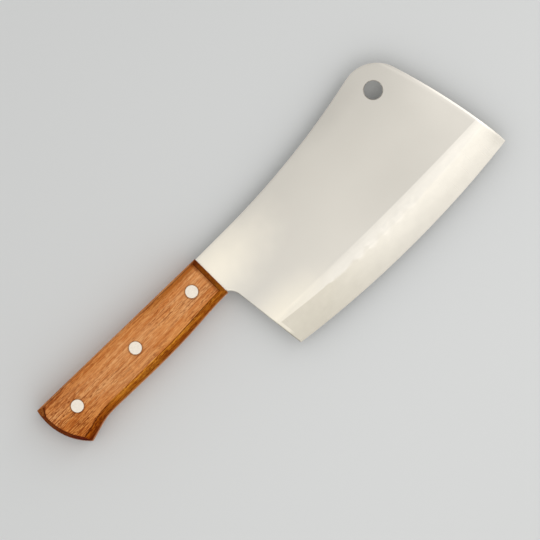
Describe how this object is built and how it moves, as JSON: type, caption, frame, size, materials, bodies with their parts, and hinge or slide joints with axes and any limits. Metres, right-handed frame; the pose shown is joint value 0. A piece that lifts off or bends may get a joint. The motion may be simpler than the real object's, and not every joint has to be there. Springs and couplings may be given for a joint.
{
  "type": "cleaver",
  "caption": "Heavy rectangular kitchen cleaver with a curved edge, a hanging hole at the top front corner and a riveted wooden handle on a full tang.",
  "frame": {"origin": "on the surface the cleaver lies on, under the middle of its outline; the lower scale's flat side rests at z = 0", "axes": "+X from the butt of the handle to the toe of the blade, +Y from the cutting edge to the spine, +Z through the thickness, out of the side that the picture shows"},
  "size_m": [0.3142, 0.099, 0.0205],
  "materials": {
    "blade_steel": "satin ground stainless steel, with a brighter polished bevel",
    "handle_wood": "oiled reddish brown hardwood with fine lengthwise pores",
    "rivet_metal": "bright, ground flush with the wood"
  },
  "bodies": {
    "root": {"blade": "blade_steel", "upper_scale": "handle_wood", "lower_scale": "handle_wood", "front_rivet_male": "rivet_metal", "front_rivet_female": "rivet_metal", "middle_rivet_male": "rivet_metal", "middle_rivet_female": "rivet_metal", "rear_rivet_male": "rivet_metal", "rear_rivet_female": "rivet_metal"}
  },
  "joints": []
}
